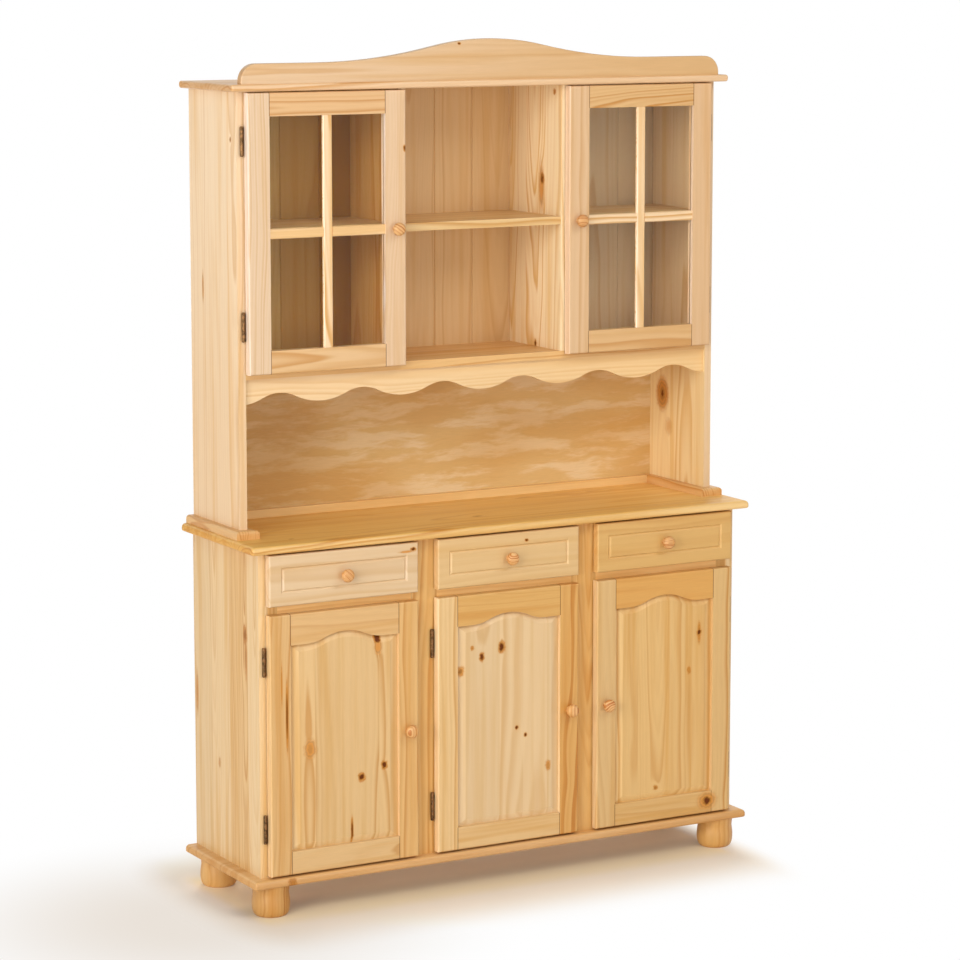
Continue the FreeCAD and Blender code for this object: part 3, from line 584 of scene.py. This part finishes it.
# a painted highlight on edges that face left, painted light on the bevels of a raised panel that face left or down,
# and painted light and shade on the front edges of the worktop and the bottom board and on the top of the cornice
# board
LEFT_EDGE_HIGHLIGHT = ((0, -0.35, -0.95, (1.30, 1.46, 1.85)),)
BEVEL_LIGHT = ((0, -0.10, -0.22, (1.08, 1.12, 1.20)), (2, -0.10, -0.22, (1.12, 1.18, 1.28)))
FACING_LIGHT = {
    "worktop": ((1, -0.35, -0.95, (0.90, 0.95, 1.28)),),
    "bottom_board": ((1, -0.35, -0.95, (0.83, 0.79, 0.78)),),
    "cornice_board": ((2, 0.35, 0.95, (1.10, 1.04, 0.90)),),
}


def finish(node, boards, tone=None, facing=None, **options):
    """Dresses a node in wood, with all that the tables say of it."""
    dress(node, wood(node, TONES[tone or node], boards, knots=KNOTS.get(node, ()), sweep=LIGHT_FALLOFFS.get(node),
                     shades=PAINTED_LIGHT_AND_SHADE.get(node, ()), facing=facing or FACING_LIGHT.get(node, ()), **options))


def striped(node, grain, seed):
    """A knob turned from close-ringed wood."""
    finish(node, tinted(rows(node, grain, seed), {0: PLAIN + (6.0,)}), "knob", ring=0.0042,
           late_tint=(0.84, 0.66, 0.46), raw=0.25)


# uprights of the case, edge-glued from staves
for side, seed in (("left", 11), ("right", 21)):
    node = "base_side_" + side
    staves = rows(node, "z_side", seed, (-0.088, 0.006, 0.101), 1)
    finish(node, tinted(staves, {0: (1.02, 1.03, 1.05, 0.7), 1: (0.975, 0.90, 0.74, 2.0)}), "base_side")
    node = "hutch_side_" + side
    finish(node, rows(node, "z_side", seed + 5, (0.0005, 0.098), 1), "hutch_side", strength=0.75)
    node = "base_partition_" + side
    finish(node, rows(node, "z_side", seed + 31, (-0.03, 0.08), 1), "base_partition")
    node = "hutch_partition_" + side
    finish(node, rows(node, "z_side", seed + 35, (0.02, 0.11), 1), "hutch_partition")

# level boards, rails and posts
for node, cuts, seed in (("worktop", (-0.085, 0.01, 0.10), 41), ("bottom_board", (-0.08, 0.02, 0.11), 45),
                         ("hutch_floor", (0.03, 0.11), 51), ("cornice_board", (0.0, 0.1), 55),
                         ("hutch_shelves", (0.05, 0.12), 69), ("base_shelves", (-0.02, 0.08), 71)):
    finish(node, rows(node, "x_flat", seed, cuts, 1))
for node, seed, strength in (("crest_board", 61, 0.8), ("valance", 65, 0.45), ("plate_rail", 67, 0.8),
                             ("drawer_rails", 83, 0.8)):
    finish(node, rows(node, "x", seed), strength=strength)
for node, cuts, seed, tints in (("front_stiles", (-0.4, 0.0, 0.4), 73, {}), ("hutch_hinge_stiles", (0.0,), 79, {}),
                                ("front_feet", (0.0,), 91, {0: (0.90, 0.87, 0.86, 1.8)}),
                                ("back_feet", (0.0,), 94, {})):
    finish(node, tinted(rows(node, "z", seed, cuts), tints))
finish("drawer_runners", rows("drawer_runners", "y", 85))
finish("hutch_shoes", rows("hutch_shoes", "y", 87, (0.0,)), ring=0.006)

# backs
seams = [BACK_LEFT + BACK_WIDTH / BACK_COUNT * k for k in range(1, BACK_COUNT)]
finish("back_boards", rows("back_boards", "z", 201, seams), strength=0.6)
# the plate back darker toward its left end: painted shade
dress("plate_back", veneer("plate_back", TONES["plate_back"], 3.1, (0, -0.45, 0.0, (0.92, 0.88, 0.79), PLAIN)))
dress("base_back", veneer("base_back", TONES["base_back"], 7.7, contrast=0.5))

# base doors and drawers: the tints of a door's two stiles, top rail and bottom rail, its panel's glue
# lines, the seeds of its frame and panel, how bold the panel's and the drawer front's grain is, and the
# way the grain of the door's and the drawer's knob runs
BASE_FRONTS = {
    "left": ((PLAIN, (1.04, 1.02, 0.94), (1.01, 1.02, 1.06), (1.04, 1.10, 1.22)),
             (-0.495, -0.4287, -0.335), (101, 107), (0.9, 0.4), ("z", "y")),
    "middle": (((1.03, 1.06, 1.1), (0.94, 0.78, 0.50, 2.6), (0.93, 0.80, 0.53, 0.4), PLAIN),
               (-0.024, 0.0385, 0.102), (311, 171), (0.5, 0.5), ("z", "x")),
    "right": (((0.94, 0.94, 0.93), (0.97, 0.95, 0.88), (0.94, 0.75, 0.44, 0.5), (0.96, 0.95, 0.90)),
              (0.350, 0.437, 0.500), (121, 127), (0.9, 0.65), ("y", "y")),
}
STILE, LOW_RAIL, HIGH_RAIL = 0.050, 0.053, 0.070
for k, (side, (tints, cuts, seeds, bold, grains)) in enumerate(BASE_FRONTS.items()):
    seed = 140 + 10 * k
    node = f"door_{side}_frame"
    finish(node, framed(node, STILE, seeds[0], tints), lines=joint_lines(node, STILE, LOW_RAIL, HIGH_RAIL),
           facing=LEFT_EDGE_HIGHLIGHT)
    node = f"door_{side}_panel"
    finish(node, rows(node, "z", seeds[1], cuts), ring=0.012, strength=bold[0], facing=BEVEL_LIGHT)
    node = f"drawer_{side}_front"
    finish(node, rows(node, "x", seed + 1), ring=0.013, strength=bold[1], facing=LEFT_EDGE_HIGHLIGHT)
    # the sides of a drawer box, and then its bottom, its back and its inner front
    node = f"drawer_{side}_box"
    parts = rows(node, "y", seed + 3)
    for j, (limits, grain, tint) in enumerate((((2, -FAR, 0.7155), "x_flat", PLAIN + (0.4,)),
                                               ((1, 0.127, FAR), "x", PLAIN), ((1, -FAR, -0.135), "x", PLAIN))):
        parts.append(((limits,), grain, parts[0][2], seed + 3 + 0.5 * (j + 1), tint))
    finish(node, parts, "drawer_box", strength=0.8)
    striped(f"door_{side}_knob", grains[0], seed + 7)
    striped(f"drawer_{side}_knob", grains[1], seed + 8)

# glazed doors
GLASS_STILE, HALF_MUNTIN = 0.052, 0.011
for k, (side, tints) in enumerate((
        ("left", ((1.01, 1.06, 1.12), PLAIN, (0.98, 0.88, 0.69, 3.0), (0.98, 0.92, 0.75, 1.2))),
        ("right", ((1.03, 1.06, 1.10), PLAIN, (0.99, 0.95, 0.77, 2.2), (0.99, 0.95, 0.80, 2.2))))):
    seed = 180 + 10 * k
    node = f"glass_door_{side}_frame"
    finish(node, framed(node, GLASS_STILE, seed + 1, tints), strength=0.7, facing=LEFT_EDGE_HIGHLIGHT,
           lines=joint_lines(node, GLASS_STILE, GLASS_STILE, GLASS_STILE))
    node = f"glass_door_{side}_muntins"
    low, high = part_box(node)
    x, y, z = ((a + b) / 2 for a, b in zip(low, high))
    bars = [((), "x", (x, y, z), float(seed + 7), PLAIN),
            (((0, x - HALF_MUNTIN, x + HALF_MUNTIN),), "z", (x, y, z), float(seed + 8), PLAIN)]
    finish(node, bars, "muntins", facing=LEFT_EDGE_HIGHLIGHT)
    striped(f"glass_door_{side}_knob", "y", seed + 9)


def pane(name):
    """Clear window glass, a little wavy and wiped, that lets the lamps through."""
    mat, n, spot = new_material(name)
    tint = n.mix(n.noise(spot["Object"], 6.0, 1.0), linear((243, 241, 234)), linear((247, 246, 240)))
    wiped = n.fade(n.noise(spot["Object"], 14.0, 4.0), 0.4, 0.8, 0.0, 0.06)
    glass = n.principled({
        "Base Color": tint, "Roughness": wiped, "Transmission Weight": 1.0, "IOR": 1.25,
        "Specular IOR Level": 0.25, "Normal": n.bump(0.05, 0.0005, n.noise(spot["Object"], 5.0, 1.0))})
    clear = n.fill(n.add("ShaderNodeBsdfTransparent"), {"Color": (0.84, 0.80, 0.74, 1.0)})
    shadow = n.add("ShaderNodeLightPath").outputs["Is Shadow Ray"]
    n.surface(n.blend(shadow, glass, clear))
    return mat


def bronze(name, tone):
    """Burnished hinge metal: brown in the hollows, brighter where it is rubbed."""
    mat, n, spot = new_material(name)
    cloud = n.noise(spot["Object"], 180.0, 4.0, 0.6)
    fine = n.noise(spot["Object"], 1500.0, 2.0)
    colour = n.mix(n.fade(cloud, 0.35, 0.65), toned(tone, (0.55, 0.55, 0.55)), linear(tone))
    n.surface(n.principled({"Base Color": colour, "Metallic": 1.0, "Roughness": n.fade(cloud, 0.3, 0.7, 0.30, 0.48),
                            "Normal": n.bump(0.2, 0.0003, fine)}))
    return mat


dark_bronze = bronze("dark_bronze", (150, 112, 74))
for node in nodes:
    if "hinges" in node or node in ("hinge_frame_leaves", "hinge_pins"):
        dress(node, dark_bronze)
    if node.endswith("_pane"):
        dress(node, pane(node))


# ---------------------------------------------------------------- floor, light and camera

def floor():
    """White to the eye but for a soft shadow round the part, partly cast by the lamps and partly painted, and pale
    paper to the light it sends back.
    """
    mesh = bpy.data.meshes.new("floor")
    mesh.from_pydata([(-FAR, -FAR, 0), (FAR, -FAR, 0), (FAR, FAR, 0), (-FAR, FAR, 0)], [], [(0, 1, 2, 3)])
    made = bpy.data.objects.new("floor", mesh)
    bpy.context.scene.collection.objects.link(made)
    mat, n, spot = new_material("floor")
    x, y = n.split(spot["Object"])[:2]
    # how far a point is from the footprint of the object, counted longer at the sides
    half_x, half_y = n.fade(x, -0.1, 0.1, 0.62, 0.57), 0.17
    stretch = n.fade(x, -0.1, 0.1, 1.9, 3.2)
    out_x = n.math("MAXIMUM", n.math("SUBTRACT", n.math("ABSOLUTE", x), half_x), 0.0)
    out_y = n.math("MAXIMUM", n.math("SUBTRACT", n.math("ABSOLUTE", y), half_y), 0.0)
    away = n.length(n.join(n.math("MULTIPLY", out_x, stretch), out_y, 0.0))
    # paper with a painted shadow, darkest under the object a little behind its front edge, and a painted warm yellow
    # close round it
    cloth = n.mix(n.noise(spot["Object"], 3.0, 2.0), linear((238, 226, 209)), linear((242, 232, 217)))
    near = n.mix(n.fade(away, 0.0, 0.08), linear((240, 222, 182)), cloth)
    deep = n.math("MULTIPLY", n.fade(y, -0.11, -0.03, 0.76, 1.12), n.fade(y, -0.19, -0.11, 1.31, 1.0))
    deep = n.mix(n.fade(away, 0.05, 0.12), deep, 1.0, "FLOAT")
    paper = n.principled({"Base Color": n.times(near, n.grey(deep)),
                          "Roughness": n.fade(n.noise(spot["Object"], 8.0, 2.0), 0.3, 0.7, 0.6, 0.75)})
    # white, with a painted cream shade at the left front of the object and a painted warm shade close to it
    from_corner = n.length(n.join(n.math("ADD", x, 0.75), n.math("ADD", y, 0.10), 0.0))
    painted_cream_shade = n.mix(n.fade(from_corner, 0.10, 0.75), linear((234, 226, 217)), WHITE)
    painted_warm_shade = n.mix(n.fade(away, 0.05, 0.36), linear((249, 238, 224)), WHITE)
    white = n.fill(n.add("ShaderNodeEmission"), {"Color": n.mix(1.0, painted_cream_shade, painted_warm_shade, how="DARKEN")})
    # under the part a tenth of the white still shows, painted light that lightens the shadow there
    open_floor = n.fade(away, 0.03, 0.29, 0.10, 1.0)
    n.surface(n.blend(n.math("MULTIPLY", n.seen(), open_floor), paper, white))
    mesh.materials.append(mat)


floor()

LAMP_TARGET = (0.0, 0.0, 1.0)
LAMP_COLOUR = (1.0, 0.99, 0.97)


def lamp(name, spot, size, power):
    """A round lamp that faces the middle of the part."""
    data = bpy.data.lights.new(name, "AREA")
    data.shape = "DISK"
    data.size = size
    data.energy = power
    data.color = LAMP_COLOUR
    made = bpy.data.objects.new(name, data)
    bpy.context.scene.collection.objects.link(made)
    made.location = spot
    aim = [t - s for t, s in zip(LAMP_TARGET, spot)]
    made.rotation_euler = (math.atan2(math.hypot(aim[0], aim[1]), -aim[2]), 0.0,
                           math.atan2(aim[1], aim[0]) - math.pi / 2)
    # the lamp behind would glare on the top of the cornice
    made.visible_glossy = name != "behind"


for name, spot, size, power in (("side", (-5.2, -2.8, 1.9), 3.4, 171.0), ("front", (0.2, -6.0, 1.4), 3.0, 63.0),
                                ("high_left", (-3.6, -3.8, 4.4), 2.6, 73.0),
                                ("high_right", (1.8, -3.6, 4.2), 2.4, 66.0), ("behind", (2.2, 4.4, 2.6), 2.6, 150.0)):
    lamp(name, spot, size, power)

# surroundings: bright where they are seen, and dim as light
world = bpy.data.worlds.new("studio")
bpy.context.scene.world = world
world.use_nodes = True
world.node_tree.nodes.clear()
n = Net(world.node_tree)
dim = n.fill(n.add("ShaderNodeBackground"), {"Color": (1.0, 0.985, 0.965, 1.0), "Strength": 0.25})
bright = n.fill(n.add("ShaderNodeBackground"), {"Color": WHITE, "Strength": 1.0})
n.surface(n.blend(n.seen(), dim, bright), "ShaderNodeOutputWorld")

# a long lens, a little higher than the part and to its left, that looks 8 degrees down
data = bpy.data.cameras.new("camera")
data.sensor_width = 36.0
data.lens = 123.088
data.shift_y = -0.06
data.clip_end = 60.0
camera = bpy.data.objects.new("camera", data)
bpy.context.scene.collection.objects.link(camera)
camera.location = (-3.66605, -6.54371, 2.11177)
camera.rotation_euler = (math.radians(90 - 8.06268), 0.0, math.radians(-29.37776))
bpy.context.scene.camera = camera
bpy.context.scene.view_settings.view_transform = "Standard"
